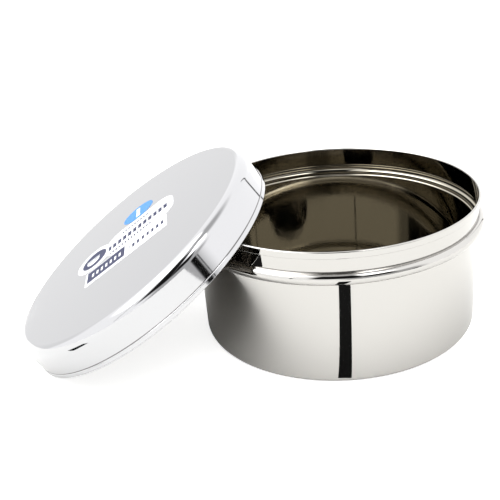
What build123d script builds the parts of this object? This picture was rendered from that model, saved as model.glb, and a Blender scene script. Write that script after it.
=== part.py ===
# Round stainless-steel tiffin box with its lift-off lid leaning on the rim.
# Millimetres. The origin is the centre of the box's underside, +Z is up, and the
# lid stands on the floor on the -X side and leans towards the box.
import os
from math import asin, cos, degrees, radians, sin, sqrt

from build123d import *

# Both shells are drawn from the same sheet.
sheet = 0.5

# Box body: the diameter is outside, just under the bead
body_diameter = 180.8
base_inset = 0.3
base_corner_radius = 4.0
wall_height = 66.8
bead_height = 7.2
bead_proud = 5.2
bead_blend_radius = 0.8
collar_height = 12.9
collar_outset = 1.6

# Hem: the rim's sheet folded over to the outside and pressed flat
hem_height = 4.2
hem_proud = 1.0
hem_edge_radius = 0.35

# Lid, in its own frame: open edge down at z = 0, top up
lid_clearance = 0.2
lid_height = 23.4
lid_shoulder_radius = 6.2
curl_height = 3.0
curl_proud = 0.45
curl_edge_radius = 0.4

# How the lid leans: its open edge passes the line where it lies on the rim by the overhang
lid_overhang = 27.6
lean_gap = 0.35

# Printed film labels on the lid's top: along is uphill on the leaning lid, across is +Y
label_thickness = 0.12
panel_length = 57.0
panel_width = 32.0
panel_along = 10.5
panel_across = 9.5
panel_corner_radius = 12.0
disc_diameter = 29.0
disc_along = -28.5
disc_across = 10.8
band_length = 67.0
band_width = 19.5
band_along = -0.5
band_across = -15.2
band_corner_radius = 1.5
oval_length = 25.5
oval_width = 19.5
oval_along = 9.0
oval_across = 35.8

# Sizes that follow from the ones above
wall_radius = body_diameter / 2
base_radius = wall_radius - base_inset
collar_radius = wall_radius + collar_outset
collar_inner_radius = collar_radius - sheet
bead_top = wall_height + bead_height
rim_height = bead_top + collar_height
rim_radius = collar_radius + hem_proud
lid_inner_radius = rim_radius + lid_clearance
lid_skirt_radius = lid_inner_radius + sheet
lid_radius = lid_skirt_radius + curl_proud

# How far the working outlines run past what is kept of them
beyond = 3 * bead_proud + 20 * sheet


def rounded(face, corner, radius):
    # One corner of a flat outline, rounded
    return fillet(face.vertices().sort_by_distance(corner)[0], radius)


def band_section(inner, outer, low, high):
    # Rectangle from one radius and height to another
    return Pos((inner + outer) / 2, (low + high) / 2) * Rectangle(outer - inner, high - low)


def sheet_section(outline, window):
    # What is left of a solid outline when only a sheet's thickness stays inside its edge
    return window & (outline - offset(outline, amount=-sheet))


def turned(section):
    return revolve(Plane.XZ * section, axis=Axis.Z)


def box_body():
    base = (base_radius, 0)
    bead_low = (wall_radius, wall_height)
    bead_crest = (wall_radius + bead_proud, wall_height + bead_height / 2)
    bead_high = (collar_radius, bead_top)
    top = rim_height + beyond

    wall = Line(base, bead_low)
    bead = ThreePointArc(bead_low, bead_crest, bead_high)
    closing = Polyline(bead_high, (collar_radius, top), (-beyond, top), (-beyond, 0), base)
    outline = make_face([wall, bead, closing])
    outline = rounded(outline, base, base_corner_radius)
    outline = rounded(outline, bead_low, bead_blend_radius)
    outline = rounded(outline, bead_high, bead_blend_radius)
    hem_low = rim_height - hem_height
    window = band_section(0, wall_radius + beyond, 0, hem_low)
    shell = sheet_section(outline, window)

    # The fold is a solid band: its two layers are pressed together
    fold_radius = 0.45 * (sheet + hem_proud)
    hem = band_section(collar_inner_radius, rim_radius, hem_low, rim_height)
    hem = rounded(hem, (rim_radius, rim_height), fold_radius)
    hem = rounded(hem, (collar_inner_radius, rim_height), fold_radius)
    hem = rounded(hem, (rim_radius, hem_low), hem_edge_radius)
    return turned(shell + hem)


def lid_shell():
    outer = band_section(-beyond, lid_skirt_radius, -beyond, lid_height)
    outer = rounded(outer, (lid_skirt_radius, lid_height), lid_shoulder_radius)
    window = band_section(0, lid_radius, 0, lid_height)

    curl = band_section(lid_inner_radius, lid_radius, 0, curl_height)
    curl = rounded(curl, (lid_radius, 0), curl_edge_radius)
    curl = rounded(curl, (lid_radius, curl_height), curl_edge_radius)
    return turned(sheet_section(outer, window) + curl)


def on_lid_top(outline):
    return extrude(Pos(0, 0, lid_height) * outline, amount=label_thickness)


def label_panel():
    panel = Pos(panel_along, panel_across) * RectangleRounded(panel_length, panel_width, panel_corner_radius)
    band = Pos(band_along, band_across) * RectangleRounded(band_length, band_width, band_corner_radius)
    disc = Pos(disc_along, disc_across) * Circle(disc_diameter / 2)
    return on_lid_top(panel + band + disc)


def label_oval():
    return on_lid_top(Pos(oval_along, oval_across) * Ellipse(oval_length / 2, oval_width / 2))


def leaning_pose():
    # The curl's lowest point is on the floor. The rim comes in under the lid's open edge
    # at two points, where it clears the inside of the lid by the lean gap.
    tilt = asin(rim_height / (2 * lid_radius - lid_overhang))
    height = (lid_radius - curl_edge_radius) * sin(tilt) + curl_edge_radius * (1 - cos(tilt))
    uphill = (rim_height - height) / sin(tilt)
    reach = lid_inner_radius - lean_gap
    distance = uphill * cos(tilt) + sqrt(rim_radius**2 - reach**2 + uphill**2)
    print("lean", round(degrees(tilt), 2), "distance", round(distance, 2), "height", round(height, 2))
    return Location((-distance, 0, height), (0, -degrees(tilt), 0))


pose = leaning_pose()
nodes = {
    "box_body": box_body(),
    "lid_shell": pose * lid_shell(),
    "label_panel": pose * label_panel(),
    "label_oval": pose * label_oval(),
}

os.makedirs("parts", exist_ok=True)
for name, solid in nodes.items():
    export_step(solid, f"parts/{name}.step")
    print(name, "volume", round(solid.volume, 1))
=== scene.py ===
import math

import bpy
from mathutils import Matrix, Vector


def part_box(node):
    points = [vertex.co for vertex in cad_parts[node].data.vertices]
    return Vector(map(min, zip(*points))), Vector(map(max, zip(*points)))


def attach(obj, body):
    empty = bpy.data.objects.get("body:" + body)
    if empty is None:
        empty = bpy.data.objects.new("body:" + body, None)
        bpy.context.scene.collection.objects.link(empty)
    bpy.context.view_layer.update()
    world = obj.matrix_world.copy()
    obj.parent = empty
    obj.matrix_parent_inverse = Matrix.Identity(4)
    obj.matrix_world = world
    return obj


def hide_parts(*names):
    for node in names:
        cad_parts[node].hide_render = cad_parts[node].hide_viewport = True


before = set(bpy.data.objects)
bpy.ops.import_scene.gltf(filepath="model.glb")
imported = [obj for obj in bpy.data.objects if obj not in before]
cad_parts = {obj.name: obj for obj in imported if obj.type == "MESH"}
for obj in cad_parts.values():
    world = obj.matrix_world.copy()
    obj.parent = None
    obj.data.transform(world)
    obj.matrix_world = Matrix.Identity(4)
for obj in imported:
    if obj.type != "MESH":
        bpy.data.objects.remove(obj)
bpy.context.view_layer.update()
print("frame loaded:", sorted(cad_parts))

mm = 0.001


# Colours and nodes

def hexColor(code):
    # sRGB hex to linear
    channels = [int(code[i:i + 2], 16) / 255 for i in (1, 3, 5)]
    return [c / 12.92 if c <= 0.04045 else ((c + 0.055) / 1.055) ** 2.4 for c in channels] + [1.0]


def addNode(tree, kind, inputs=None, **settings):
    # inputs: socket name or number -> a value, or (node, output) to link from
    node = tree.nodes.new(kind)
    for key, value in settings.items():
        setattr(node, key, value)
    for socket, value in (inputs or {}).items():
        if isinstance(value, tuple) and isinstance(value[0], bpy.types.Node):
            tree.links.new(value[0].outputs[value[1]], node.inputs[socket])
        else:
            node.inputs[socket].default_value = value
    return node


def newMaterial(name):
    material = bpy.data.materials.new(name)
    material.use_nodes = True
    material.node_tree.nodes.clear()
    return material, material.node_tree


def finishMaterial(tree, shader):
    addNode(tree, "ShaderNodeOutputMaterial", {"Surface": (shader, "BSDF")})


# Stainless steel sheet, deep drawn, then buffed on a wheel while it turns: a mirror with a
# faint warm tint, softened by fine rings that run round the axis.
def buffedSteel(name, finish):
    material, tree = newMaterial(name)
    place = addNode(tree, "ShaderNodeAttribute", attribute_name="own_place")
    split = addNode(tree, "ShaderNodeSeparateXYZ", {0: (place, "Vector")})
    flat = addNode(tree, "ShaderNodeCombineXYZ", {"X": (split, "X"), "Y": (split, "Y")})
    radius = addNode(tree, "ShaderNodeVectorMath", {0: (flat, 0)}, operation="LENGTH")
    ringPlace = addNode(tree, "ShaderNodeCombineXYZ", {"X": (radius, "Value"), "Y": (split, "Z")})
    rings = addNode(tree, "ShaderNodeTexNoise",
                    {"Vector": (ringPlace, 0), "Scale": 1 / (finish["ringWidth"] * mm), "Detail": 2.0},
                    noise_dimensions="2D")
    waves = addNode(tree, "ShaderNodeTexNoise",
                    {"Vector": (place, "Vector"), "Scale": 1 / (finish["waveLength"] * mm), "Detail": 1.0})
    wiped = addNode(tree, "ShaderNodeTexNoise",
                    {"Vector": (place, "Vector"), "Scale": 1 / (finish["smudgeSize"] * mm), "Detail": 4.0})
    dulled = addNode(tree, "ShaderNodeMapRange",
                     {"Value": (wiped, 0), "From Min": 0.35, "From Max": 0.7,
                      "To Min": finish["roughness"][0], "To Max": finish["roughness"][1]})
    waveBump = addNode(tree, "ShaderNodeBump",
                       {"Height": (waves, 0), "Distance": finish["waveDepth"] * mm, "Strength": 1.0})
    ringBump = addNode(tree, "ShaderNodeBump",
                       {"Height": (rings, 0), "Distance": finish["ringDepth"] * mm, "Strength": 1.0,
                        "Normal": (waveBump, 0)})
    tint = hexColor(finish["color"])
    # painted shade: a thin band of darker colour along each crease, darkest at its middle
    for at, half in finish["paintedShadeCreases"]:
        away = addNode(tree, "ShaderNodeMath", {0: (split, "Z"), 1: at * mm}, operation="SUBTRACT")
        size = addNode(tree, "ShaderNodeMath", {0: (away, 0)}, operation="ABSOLUTE")
        near = addNode(tree, "ShaderNodeMapRange",
                       {"Value": (size, 0), "From Min": 0.4 * half * mm, "From Max": half * mm,
                        "To Min": 0.75, "To Max": 0.0})
        mixed = addNode(tree, "ShaderNodeMix",
                        {"Factor": (near, 0), 6: tint, 7: hexColor(finish["creaseShadeColor"])}, data_type="RGBA")
        tint = (mixed, 2)
    shader = addNode(tree, "ShaderNodeBsdfPrincipled",
                     {"Base Color": tint, "Metallic": 1.0,
                      "Roughness": (dulled, 0), "Normal": (ringBump, 0)})
    finishMaterial(tree, shader)
    return material


# Round pieces from an outline

def arc(centre, radius, start, end, steps):
    # Points (r, z, normal r, normal z) round a circle, angles in degrees from outwards to up;
    # a hollow arc, run clockwise, has its normals towards its centre
    side = 1 if end > start else -1
    points = []
    for i in range(steps + 1):
        a = math.radians(start + (end - start) * i / steps)
        c, s = math.cos(a), math.sin(a)
        points.append((centre[0] + radius * c, centre[1] + radius * s, side * c, side * s))
    return points


def straight(start, end, steps):
    # Points between two ends, both left out, with the normal on the right of the way
    dr, dz = end[0] - start[0], end[1] - start[1]
    length = math.hypot(dr, dz)
    return [(start[0] + dr * i / steps, start[1] + dz * i / steps, dz / length, -dr / length)
            for i in range(1, steps)]


def join(*runs):
    # Runs of points one after another, with straight stretches between them
    points = list(runs[0])
    for run in runs[1:]:
        gap = math.dist(points[-1][:2], run[0][:2])
        if gap > 0.02:
            points += straight(points[-1], run[0], max(2, round(gap / 4)))
            points += run
        else:
            points += run[1:]
    return points


keepInside = 0.9996           # the CAD mesh is cut from chords: this keeps the smoother pieces inside it


def spun(name, outline, segments, place=None, split=None):
    # Mesh turned from an outline in millimetres that starts and ends on the axis, then put in place.
    # From outline point number split on, faces take the second material.
    ring = [(p[0] * keepInside, *p[1:]) for p in outline if p[0] > 1e-6]
    verts, normals, faces, kinds = [], [], [], []
    for r, z, nr, nz in ring:
        for k in range(segments):
            a = 2 * math.pi * k / segments
            verts.append((r * mm * math.cos(a), r * mm * math.sin(a), z * mm))
            normals.append((nr * math.cos(a), nr * math.sin(a), nz))
    for i in range(len(ring) - 1):
        for k in range(segments):
            k2 = (k + 1) % segments
            a, b = i * segments + k, i * segments + k2
            faces.append((a, b, b + segments, a + segments))
            kinds.append(1 if split is not None and i >= split else 0)
    for end, row, flip in ((outline[0], 0, True), (outline[-1], len(ring) - 1, False)):
        pole = len(verts)
        verts.append((0, 0, end[1] * mm))
        normals.append((0, 0, end[3]))
        for k in range(segments):
            k2 = (k + 1) % segments
            a, b = row * segments + k, row * segments + k2
            faces.append((pole, b, a) if flip else (pole, a, b))
            kinds.append(1 if split is not None and not flip else 0)
    mesh = bpy.data.meshes.new(name)
    mesh.from_pydata(verts, [], faces)
    mesh.polygons.foreach_set("material_index", kinds)
    mesh.polygons.foreach_set("use_smooth", [True] * len(faces))
    own = mesh.attributes.new("own_place", "FLOAT_VECTOR", "POINT")
    own.data.foreach_set("vector", [c for v in verts for c in v])
    if place is not None:
        mesh.transform(place)
        normals = [place.to_3x3() @ Vector(n) for n in normals]
    mesh.normals_split_custom_set_from_vertices(normals)
    piece = bpy.data.objects.new(name, mesh)
    bpy.context.scene.collection.objects.link(piece)
    return piece


def blendCentre(line, slope, blend, centre, radius, above):
    # Centre of a small hollow blend outside a wall line and outside a bulge
    nr, nz = math.cos(slope), -math.sin(slope)
    pr, pz = line[0] + blend * nr, line[1] + blend * nz
    dr, dz = math.sin(slope), math.cos(slope)
    b = (pr - centre[0]) * dr + (pz - centre[1]) * dz
    c = (pr - centre[0]) ** 2 + (pz - centre[1]) ** 2 - (radius + blend) ** 2
    t = -b + math.sqrt(b * b - c) * (1 if above else -1)
    return pr + dr * t, pz + dz * t


# Box body

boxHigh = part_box("box_body")[1]

boxShell = {
    "sheet": 0.5,
    "wallRadius": 90.4,      # outside, just under the bead
    "baseInset": 0.3,        # how far the wall draws in at the base
    "baseCorner": 4.0,
    "wallHeight": 66.8,
    "beadHeight": 7.2,
    "beadProud": 5.2,
    "beadBlend": 0.8,
    "collarOutset": 1.6,
    "hemHeight": 4.2,
    "hemProud": 1.0,
    "hemEdge": 0.35,
    "segments": 288,
}

lidShell = {
    "sheet": 0.5,
    "shoulder": 6.2,
    "curlHeight": 3.0,
    "curlProud": 0.45,
    "curlEdge": 0.4,
    "segments": 288,
}

outsideFinish = {
    "color": "#BEBCB9",
    "roughness": (0.02, 0.06),
    "ringWidth": 0.7,        # real buffing lines are some 0.05 mm apart: drawn coarser to show
    "ringDepth": 0.0006,
    "waveLength": 45,
    "waveDepth": 0.02,
    "smudgeSize": 30,
    # painted shade along each crease: its colour, then each crease's height and half width in millimetres
    "creaseShadeColor": "#3A352E",
    "paintedShadeCreases": ((74.35, 0.5), (66.5, 0.35)),
}

# the box's inside: a little rougher, and its darker, warmer colour is painted shade
insideShadedFinish = dict(outsideFinish, color="#A5A094", roughness=(0.03, 0.07), paintedShadeCreases=((74.6, 0.5),))

lidFinish = dict(outsideFinish, color="#C1C1C3", roughness=(0.03, 0.07), paintedShadeCreases=((3.25, 0.35),))

# the lid's inside is taken to be less buffed, so duller; its darker grey colour is painted shade
lidInsideShadedFinish = dict(outsideFinish, color="#7C7872", roughness=(0.12, 0.2), paintedShadeCreases=())


def roundThrough(a, b, c):
    # Centre and radius of the circle through three points
    ab, ac = (b[0] - a[0], b[1] - a[1]), (c[0] - a[0], c[1] - a[1])
    d = 2 * (ab[0] * ac[1] - ab[1] * ac[0])
    bb, cc = ab[0] ** 2 + ab[1] ** 2, ac[0] ** 2 + ac[1] ** 2
    x, y = (ac[1] * bb - ab[1] * cc) / d, (ab[0] * cc - ac[0] * bb) / d
    return (a[0] + x, a[1] + y), math.hypot(x, y)


def boxOutline(shape, rimHeight):
    sheet = shape["sheet"]
    wall, base = shape["wallRadius"], shape["wallRadius"] - shape["baseInset"]
    collar = wall + shape["collarOutset"]
    low, high = shape["wallHeight"], shape["wallHeight"] + shape["beadHeight"]
    rim = collar + shape["hemProud"]
    slope = math.atan2(wall - base, low)
    centre, radius = roundThrough((wall, low), (wall + shape["beadProud"], (low + high) / 2), (collar, high))

    def face(inset):
        # wall, bulge and collar from the base corner up to the collar, moved in by a sheet's thickness
        corner = shape["baseCorner"] - inset
        blend = shape["beadBlend"] + inset
        bulge = radius - inset
        start = (base - inset / math.cos(slope), 0)
        lower = blendCentre(start, slope, blend, centre, bulge, False)
        upper = blendCentre((collar - inset, high), 0, blend, centre, bulge, True)
        lowerAngle = math.degrees(math.atan2(lower[1] - centre[1], lower[0] - centre[0]))
        upperAngle = math.degrees(math.atan2(upper[1] - centre[1], upper[0] - centre[0]))
        tilt = math.degrees(slope)
        cornerHeight = inset + corner
        cornerCentre = (start[0] - corner / math.cos(slope) + cornerHeight * math.tan(slope), cornerHeight)
        return [
            arc(cornerCentre, corner, -90, -tilt, 10),
            arc(lower, blend, 180 - tilt, 180 + lowerAngle, 8),
            arc(centre, bulge, lowerAngle, upperAngle, 32),
            arc(upper, blend, 180 + upperAngle, 180, 8),
        ]

    outer = face(0)
    inner = face(sheet)
    hemLow, fold, edge = rimHeight - shape["hemHeight"], 0.45 * (sheet + shape["hemProud"]), shape["hemEdge"]
    hem = [
        [(collar, hemLow - 0.05, 1, 0)],
        arc((rim - edge, hemLow + edge), edge, -90, 0, 6),
        arc((rim - fold, rimHeight - fold), fold, 0, 90, 10),
        arc((collar - sheet + fold, rimHeight - fold), fold, 90, 180, 10),
    ]
    insideRuns = [[(r, z, -nr, -nz) for r, z, nr, nz in reversed(run)] for run in reversed(inner)]
    outside = join([(0, 0, 0, -1)], *outer, *hem)
    return join(outside, *insideRuns, [(0, sheet, 0, 1)]), len(outside) - 1


def buildBox():
    outline, split = boxOutline(boxShell, boxHigh.z / mm)
    box = spun("box_shell", outline, boxShell["segments"], split=split)
    box.data.materials.append(buffedSteel("buffed_stainless_outside", outsideFinish))
    box.data.materials.append(buffedSteel("buffed_stainless_inside_painted_shade", insideShadedFinish))
    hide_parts("box_body")
    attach(box, "box")
    print("box shell:", len(box.data.polygons), "faces")


# Lid

def lidPlace():
    # The lid's own frame from its CAD node: up is the normal of the label's printed face
    up = Vector((0, 0, 0))
    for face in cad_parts["label_panel"].data.polygons:
        if face.normal.z > 0.7:
            up += face.normal * face.area
    turn = Matrix.Rotation(-math.atan2(-up.x, up.z), 3, "Y")
    points = [turn.inverted() @ v.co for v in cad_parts["lid_shell"].data.vertices]
    low = [min(p[i] for p in points) for i in range(3)]
    high = [max(p[i] for p in points) for i in range(3)]
    middle = Vector(((low[0] + high[0]) / 2, (low[1] + high[1]) / 2, low[2]))
    return Matrix.Translation(turn @ middle) @ turn.to_4x4(), (high[0] - low[0]) / 2, high[2] - low[2]


def lidOutline(shape, radius, height):
    sheet, edge, shoulder = shape["sheet"], shape["curlEdge"], shape["shoulder"]
    skirt = radius - shape["curlProud"]
    curl = shape["curlHeight"]
    seam = 0.12
    outside = join(
        [(skirt - sheet, seam, -1, 0)],
        arc((skirt - sheet + seam, seam), seam, 180, 270, 4),
        arc((radius - edge, edge), edge, -90, 0, 6),
        arc((radius - edge, curl - edge), edge, 0, 80, 6),
        arc((skirt + seam, curl + seam), seam, 260, 180, 4),
        arc((skirt - shoulder, height - shoulder), shoulder, 0, 90, 32),
        [(0, height, 0, 1)],
    )
    bend = arc((skirt - shoulder, height - shoulder), shoulder - sheet, 0, 90, 32)
    inside = join(
        [(0, height - sheet, 0, -1)],
        [(r, z, -nr, -nz) for r, z, nr, nz in reversed(bend)],
        [(skirt - sheet, seam, -1, 0)],
    )
    return inside, outside


def buildLid():
    place, radius, height = lidPlace()
    inside, outside = lidOutline(lidShell, radius / mm, height / mm)
    outline = inside + outside[1:]
    lid = spun("lid_shell_pressed", outline, lidShell["segments"], place, split=len(inside) - 1)
    lid.data.materials.append(buffedSteel("pressed_stainless_lid_inside_painted_shade", lidInsideShadedFinish))
    lid.data.materials.append(buffedSteel("buffed_stainless_lid", lidFinish))
    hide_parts("lid_shell")
    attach(lid, "lid")
    print("lid:", len(lid.data.polygons), "faces")
    return place


buildBox()
lidMatrix = buildLid()


# Label: places in millimetres on the lid's top, along the way up its lean and across it

labelPrint = {
    "white": "#F7F8FA",
    "navy": "#1E2348",
    "pale": "#4A8DD2",
    "roughness": 0.38,
    "disc": ((-28.4, 10.8), 10.2),
    "motif": ((-29.4, 10.8), 5.4, 1.1),
    "bars": (                 # along from and to, across from and to, pitch of its marks, share inked
        (-16.0, 34.5, 5.6, 12.4, 4.3, 0.68),
        (-4.5, 17.5, 18.2, 20.9, 2.6, 0.5),
        (-14.5, 20.0, -1.4, 1.6, 2.6, 0.5),
        (2.5, 32.0, -17.6, -12.2, 3.9, 0.5),
    ),
    "block": (-32.5, -1.5, -21.0, -6.0),
    "blockBars": (-30.0, -4.0, -16.2, -11.2, 3.7, 0.45),
    "ovalMark": (7.4, 10.6, 29.0, 42.5),
}


def within(tree, value, low, high):
    # 1 where a value lies between two ends
    return addNode(tree, "ShaderNodeMath", {0: value, 1: (low + high) / 2, 2: (high - low) / 2},
                   operation="COMPARE")


def both(tree, a, b, operation="MULTIPLY"):
    return addNode(tree, "ShaderNodeMath", {0: (a, 0), 1: (b, 0)}, operation=operation)


def barMask(tree, along, across, bar):
    mask = both(tree, within(tree, along, bar[0], bar[1]), within(tree, across, bar[2], bar[3]))
    if len(bar) == 4:
        return mask
    steps = addNode(tree, "ShaderNodeMath", {0: along, 1: bar[4]}, operation="DIVIDE")
    part = addNode(tree, "ShaderNodeMath", {0: (steps, 0)}, operation="FRACT")
    return both(tree, mask, within(tree, (part, 0), 0.5 - bar[5] / 2, 0.5 + bar[5] / 2))


def roundMask(tree, place, centre, radius):
    away = addNode(tree, "ShaderNodeVectorMath", {0: (place, 0), 1: (*centre, 0)}, operation="DISTANCE")
    return addNode(tree, "ShaderNodeMath", {0: (away, "Value"), 1: radius}, operation="LESS_THAN")


# Vinyl film, screen printed: flat matt ink with faint patches where it laid on thicker, a soft sheen.
def printedFilm(name, ground, mark):
    material, tree = newMaterial(name)
    where = addNode(tree, "ShaderNodeTexCoord")
    back = lidMatrix.inverted()
    turned = back.to_euler()
    place = addNode(tree, "ShaderNodeMapping",
                    {"Vector": (where, "Object"), "Location": back.translation / mm, "Rotation": turned,
                     "Scale": (1 / mm, 1 / mm, 1 / mm)}, vector_type="POINT")
    split = addNode(tree, "ShaderNodeSeparateXYZ", {0: (place, 0)})
    flat = addNode(tree, "ShaderNodeCombineXYZ", {"X": (split, "X"), "Y": (split, "Y")})
    along, across = (split, "X"), (split, "Y")
    if mark == "oval":
        inked = barMask(tree, along, across, labelPrint["ovalMark"])
    else:
        inked = roundMask(tree, flat, *labelPrint["disc"])
        centre, radius, line = labelPrint["motif"]
        bowl = both(tree, roundMask(tree, flat, centre, radius),
                    within(tree, across, centre[1] - radius, centre[1] + 0.4))
        rim = barMask(tree, along, across, (centre[0] - radius, centre[0] + radius, centre[1] + 1.5,
                                            centre[1] + 1.5 + line))
        inked = both(tree, inked, both(tree, bowl, rim, "MAXIMUM"), "SUBTRACT")
        for bar in labelPrint["bars"]:
            inked = both(tree, inked, barMask(tree, along, across, bar), "MAXIMUM")
        block = both(tree, barMask(tree, along, across, labelPrint["block"]),
                     barMask(tree, along, across, labelPrint["blockBars"]), "SUBTRACT")
        inked = both(tree, inked, block, "MAXIMUM")
    patches = addNode(tree, "ShaderNodeTexNoise", {"Vector": (flat, 0), "Scale": 0.35, "Detail": 3.0})
    thick = addNode(tree, "ShaderNodeMapRange", {"Value": (patches, 0), "To Min": 0.9, "To Max": 1.0})
    paint = addNode(tree, "ShaderNodeMix", {"Factor": (inked, 0), 6: hexColor(labelPrint[ground[0]]),
                                            7: hexColor(labelPrint[ground[1]])}, data_type="RGBA")
    shade = addNode(tree, "ShaderNodeVectorMath", {0: (paint, 2), "Scale": (thick, 0)}, operation="SCALE")
    shader = addNode(tree, "ShaderNodeBsdfPrincipled",
                     {"Base Color": (shade, 0), "Roughness": labelPrint["roughness"],
                      "Specular IOR Level": 0.15})
    finishMaterial(tree, shader)
    return material


def buildLabels():
    for node, material, slot in (
        ("label_panel", printedFilm("printed_vinyl_white", ("white", "navy"), "panel"), "label_film"),
        ("label_oval", printedFilm("printed_vinyl_blue", ("pale", "white"), "oval"), "label_blue"),
    ):
        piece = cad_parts[node]
        piece.data.materials.clear()
        piece.data.materials.append(material)
    print("labels printed")


buildLabels()


# Studio

studio = {
    "floorColor": "#E6E6E4",
    "floorSize": 8.0,
    "glow": 0.78,            # light added to the floor, for the camera only
    "backdrop": 1.05,        # the backdrop as the camera sees it: plain white
    "tent": 1.6,             # how bright the tent's cloth looks in the steel
    "tentTop": 0.7,          # and overhead, where it is open
    "lampGlow": 5.0,         # the lamps' diffusers
    "soft": 0.06,            # light that falls from the sides
    "overhead": 3.4,         # and from above
    # dark shapes that stand round the tent: bearing from the front, towards the lid, and height,
    # each with its half size and soft edge, in degrees
    # the opening is black, the front is only dimmer, and the lamps are brighter than the cloth
    "opening": ((10, 45), (21, 24), 4),
    "front": ((-24, 12), (30, 22), 8),
    "frontShade": 0.42,
    "lamps": (((92, 56), (44, 18), 8), ((-32, 62), (15, 10), 4)),
    "stands": (((44, 30), (0.8, 22), 0.6), ((-132, 12), (0.9, 22), 0.6), ((-47, 3), (2.6, 4.5), 0.8),
               ((-51, 3.5), (0.45, 4.5), 0.3), ((-22, 32), (13, 11), 3)),
    "backCloth": ((150, 2), (32, 16), 6),
    "backShade": 0.745,      # the cloth that the lid's top reflects, dimmer than the rest
    # dark cards on the table, seen only in the steel, that paint dark reflections: corners in millimetres
    "darkReflectionCards": (
        ((-19.5, -91.5), (-10.8, -91.5), (-9.3, -224), (-38, -224)),
        ((-236, -132), (-203, -126), (-203, -96), (-236, -96)),
    ),
}


# Uncoated white paper: a fine even tooth and hardly any sheen, so it reads as a plain pale ground.
def buildFloor():
    half = studio["floorSize"] / 2
    mesh = bpy.data.meshes.new("studio_floor")
    corners = [(-half, -half, 0), (half, -half, 0), (half, half, 0), (-half, half, 0)]
    mesh.from_pydata(corners, [], [(0, 1, 2, 3)])
    floor = bpy.data.objects.new("studio_floor", mesh)
    bpy.context.scene.collection.objects.link(floor)
    material, tree = newMaterial("matt_white_paper")
    place = addNode(tree, "ShaderNodeTexCoord")
    grain = addNode(tree, "ShaderNodeTexNoise", {"Vector": (place, "Object"), "Scale": 900.0, "Detail": 2.0})
    tooth = addNode(tree, "ShaderNodeBump", {"Height": (grain, 0), "Distance": 0.00003, "Strength": 0.3})
    # light added for the camera only, so that shadows on the paper look weak to it
    path = addNode(tree, "ShaderNodeLightPath")
    added = addNode(tree, "ShaderNodeMath", {0: (path, "Is Camera Ray"), 1: studio["glow"]},
                    operation="MULTIPLY")
    shader = addNode(tree, "ShaderNodeBsdfPrincipled",
                     {"Base Color": hexColor(studio["floorColor"]), "Roughness": 0.95,
                      "Specular IOR Level": 0.1, "Normal": (tooth, 0), "Emission Color": (1, 1, 1, 1),
                      "Emission Strength": (added, 0)})
    finishMaterial(tree, shader)
    mesh.materials.append(material)


# Near-black matt card with a faint weave noise in its tone: nearly no light comes back from it, so it paints
# a hard dark line into the steel's reflections.
def buildDarkReflectionCards():
    # Painted dark reflections: stand-ins for dark things on the table, seen only in the polished steel
    mesh = bpy.data.meshes.new("studio_painted_reflection_cards")
    corners = [(x * mm, y * mm, 0.0004) for strip in studio["darkReflectionCards"] for x, y in strip]
    mesh.from_pydata(corners, [], [tuple(range(i, i + 4)) for i in range(0, len(corners), 4)])
    gap = bpy.data.objects.new("studio_painted_reflection_cards", mesh)
    bpy.context.scene.collection.objects.link(gap)
    material, tree = newMaterial("painted_dark_reflection_card")
    place = addNode(tree, "ShaderNodeTexCoord")
    weave = addNode(tree, "ShaderNodeTexNoise", {"Vector": (place, "Object"), "Scale": 400.0})
    shade = addNode(tree, "ShaderNodeMapRange", {"Value": (weave, 0), "To Min": 0.004, "To Max": 0.012})
    shader = addNode(tree, "ShaderNodeBsdfPrincipled",
                     {"Base Color": (shade, 0), "Roughness": 1.0, "Specular IOR Level": 0.0})
    finishMaterial(tree, shader)
    mesh.materials.append(material)
    gap.visible_camera = False
    gap.visible_diffuse = False
    gap.visible_shadow = False


def softShape(tree, bearing, height, shape):
    # 1 inside a soft-edged shape on the tent, 0 outside it
    (atBearing, atHeight), (halfBearing, halfHeight), soft = shape
    sides = []
    for angle, at, half in ((bearing, atBearing, halfBearing), (height, atHeight, halfHeight)):
        away = addNode(tree, "ShaderNodeMath", {0: (angle, 0), 1: at}, operation="SUBTRACT")
        size = addNode(tree, "ShaderNodeMath", {0: (away, 0)}, operation="ABSOLUTE")
        sides.append(addNode(tree, "ShaderNodeMapRange",
                             {"Value": (size, 0), "From Min": half - soft, "From Max": half + soft,
                              "To Min": 1.0, "To Max": 0.0}, interpolation_type="SMOOTHSTEP"))
    return addNode(tree, "ShaderNodeMath", {0: (sides[0], 0), 1: (sides[1], 0)}, operation="MULTIPLY")


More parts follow.
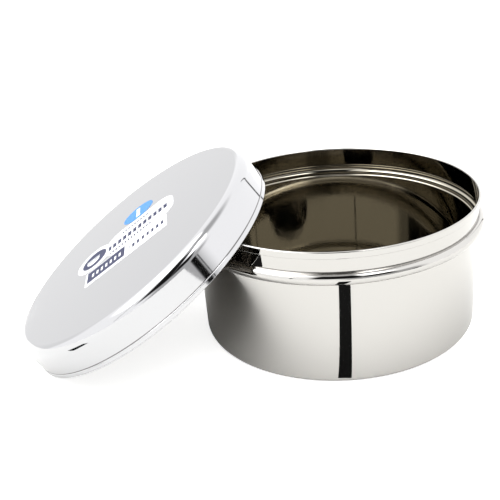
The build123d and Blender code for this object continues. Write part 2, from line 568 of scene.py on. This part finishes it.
def buildLight():
    world = bpy.data.worlds.new("light_tent")
    world.use_nodes = True
    tree = world.node_tree
    tree.nodes.clear()
    way = addNode(tree, "ShaderNodeTexCoord")
    part = addNode(tree, "ShaderNodeSeparateXYZ", {0: (way, "Generated")})
    backX = addNode(tree, "ShaderNodeMath", {0: (part, "X"), 1: -1.0}, operation="MULTIPLY")
    backY = addNode(tree, "ShaderNodeMath", {0: (part, "Y"), 1: -1.0}, operation="MULTIPLY")
    turn = addNode(tree, "ShaderNodeMath", {0: (backX, 0), 1: (backY, 0)}, operation="ARCTAN2")
    bearing = addNode(tree, "ShaderNodeMath", {0: (turn, 0)}, operation="DEGREES")
    rise = addNode(tree, "ShaderNodeMath", {0: (part, "Z")}, operation="ARCSINE")
    height = addNode(tree, "ShaderNodeMath", {0: (rise, 0)}, operation="DEGREES")

    # what the steel sees: bright cloth, brighter under the lamp, with the dark shapes round it
    cloth = addNode(tree, "ShaderNodeMapRange",
                    {"Value": (height, 0), "From Min": 55.0, "From Max": 80.0,
                     "To Min": studio["tent"], "To Max": studio["tentTop"]}, interpolation_type="SMOOTHSTEP")
    for shape in studio["lamps"]:
        lamp = softShape(tree, bearing, height, shape)
        cloth = addNode(tree, "ShaderNodeMath", {0: (lamp, 0), 1: studio["lampGlow"], 2: (cloth, 0)},
                        operation="MULTIPLY_ADD")
    dark = softShape(tree, bearing, height, studio["opening"])
    for shape in studio["stands"]:
        stand = softShape(tree, bearing, height, shape)
        dark = addNode(tree, "ShaderNodeMath", {0: (dark, 0), 1: (stand, 0)}, operation="MAXIMUM")
    clear = addNode(tree, "ShaderNodeMapRange", {"Value": (dark, 0), "To Min": 1.0, "To Max": 0.01})
    seen = addNode(tree, "ShaderNodeMath", {0: (cloth, 0), 1: (clear, 0)}, operation="MULTIPLY")
    for place, shade in (("backCloth", "backShade"), ("front", "frontShade")):
        dim = softShape(tree, bearing, height, studio[place])
        left = addNode(tree, "ShaderNodeMapRange",
                       {"Value": (dim, 0), "To Min": 1.0, "To Max": studio[shade]})
        seen = addNode(tree, "ShaderNodeMath", {0: (seen, 0), 1: (left, 0)}, operation="MULTIPLY")

    # what lights the floor and the print: soft light, mostly from above
    square = addNode(tree, "ShaderNodeMath", {0: (part, "Z"), 1: 2.0}, operation="POWER")
    falling = addNode(tree, "ShaderNodeMath", {0: (square, 0), 1: studio["overhead"], 2: studio["soft"]},
                      operation="MULTIPLY_ADD")
    path = addNode(tree, "ShaderNodeLightPath")
    strength = addNode(tree, "ShaderNodeMix",
                       {"Factor": (path, "Is Diffuse Ray"), 2: (seen, 0), 3: (falling, 0)})
    plain = addNode(tree, "ShaderNodeMix",
                    {"Factor": (path, "Is Camera Ray"), 2: (strength, 0), 3: studio["backdrop"]})
    glow = addNode(tree, "ShaderNodeBackground", {"Color": (1, 1, 1, 1), "Strength": (plain, 0)})
    addNode(tree, "ShaderNodeOutputWorld", {"Surface": (glow, 0)})
    bpy.context.scene.world = world


buildFloor()
buildDarkReflectionCards()
buildLight()


# Camera

view = {
    "lens": 59.06,           # on a 36 mm sensor
    "distance": 501.55,       # from the box's axis, millimetres
    "height": 277.0,
    "azimuth": 10.70,        # round the box from its front, towards the lid
    "pan": -6.52,            # the camera looks a little to the left of the axis
    "pitch": 24.36,
    "roll": -5.31,
}


def buildCamera():
    around = math.radians(view["azimuth"])
    pan = math.radians(view["pan"]) + around
    pitch, roll = math.radians(view["pitch"]), math.radians(view["roll"])
    away = view["distance"]
    place = Vector((-away * math.sin(around), -away * math.cos(around), view["height"])) * mm
    ahead = Vector((math.sin(pan) * math.cos(pitch), math.cos(pan) * math.cos(pitch), -math.sin(pitch)))
    level = Vector((math.cos(pan), -math.sin(pan), 0))
    above = level.cross(ahead)
    right = level * math.cos(roll) + above * math.sin(roll)
    up = above * math.cos(roll) - level * math.sin(roll)
    data = bpy.data.cameras.new("studio_camera")
    data.lens = view["lens"]
    data.sensor_width = 36
    data.clip_start, data.clip_end = 0.01, 50
    camera = bpy.data.objects.new("studio_camera", data)
    camera.matrix_world = Matrix((
        (right.x, up.x, -ahead.x, place.x),
        (right.y, up.y, -ahead.y, place.y),
        (right.z, up.z, -ahead.z, place.z),
        (0, 0, 0, 1),
    ))
    bpy.context.scene.collection.objects.link(camera)
    bpy.context.scene.camera = camera


buildCamera()
bpy.context.scene.view_settings.view_transform = "Standard"
